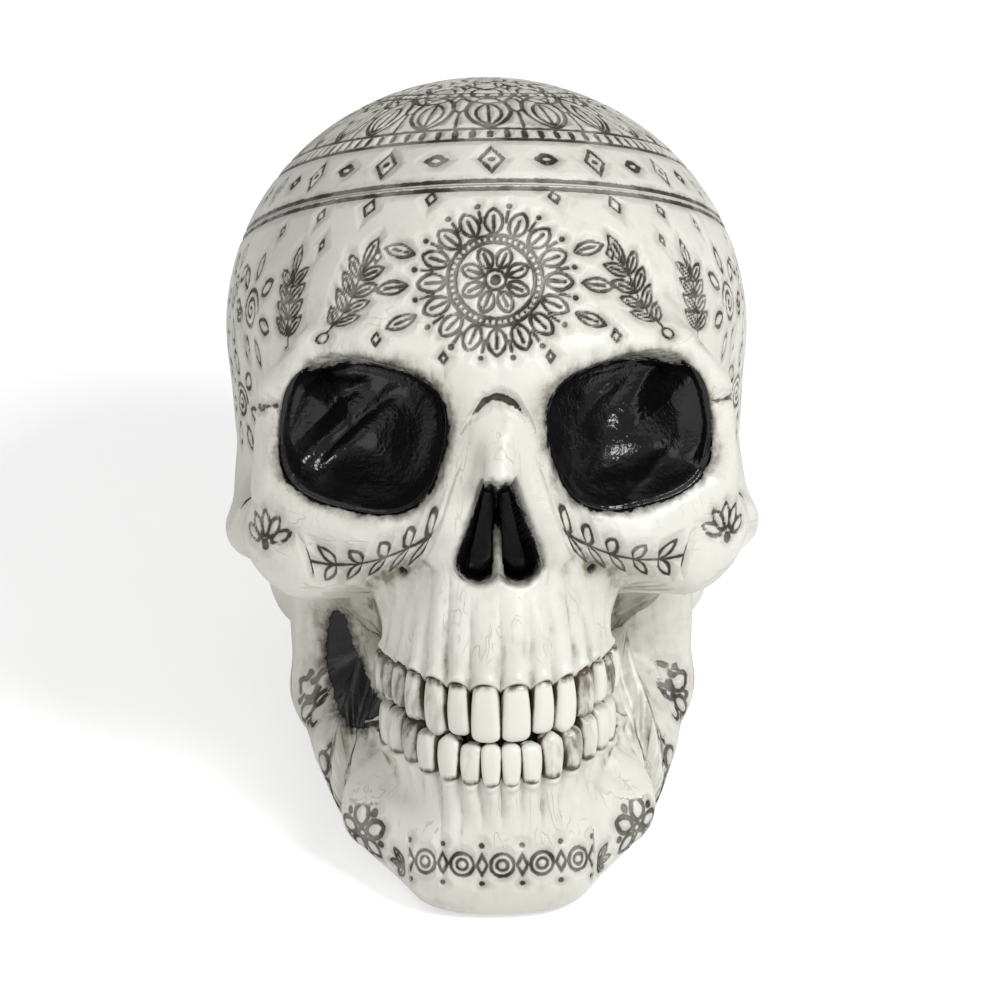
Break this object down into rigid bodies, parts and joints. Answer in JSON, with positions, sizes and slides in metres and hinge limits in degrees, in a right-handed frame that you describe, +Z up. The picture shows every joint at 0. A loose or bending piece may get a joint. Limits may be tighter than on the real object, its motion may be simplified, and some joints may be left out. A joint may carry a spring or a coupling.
{
  "type": "decorative skull",
  "caption": "Hollow moulded skull ornament with open eye sockets, a nose opening and closed rows of teeth, tilted back on pads under its chin and rear.",
  "frame": {"origin": "on the surface the skull stands on, under the middle of its bounding box", "axes": "+Z up, the face looks along -Y, +X is the viewer's right when facing the skull"},
  "size_m": [0.1408, 0.218, 0.1771],
  "materials": {
    "bone_plastic": "satin, brown-black wash in the grooves",
    "pad_rubber": "matte"
  },
  "bodies": {
    "root": {"crown_shell": "bone_plastic", "face_shell": "bone_plastic", "rear_shell": "bone_plastic", "jaw_shell": "bone_plastic", "base_cover": "bone_plastic", "chin_pad": "pad_rubber", "left_rear_pad": "pad_rubber", "right_rear_pad": "pad_rubber"}
  },
  "joints": []
}
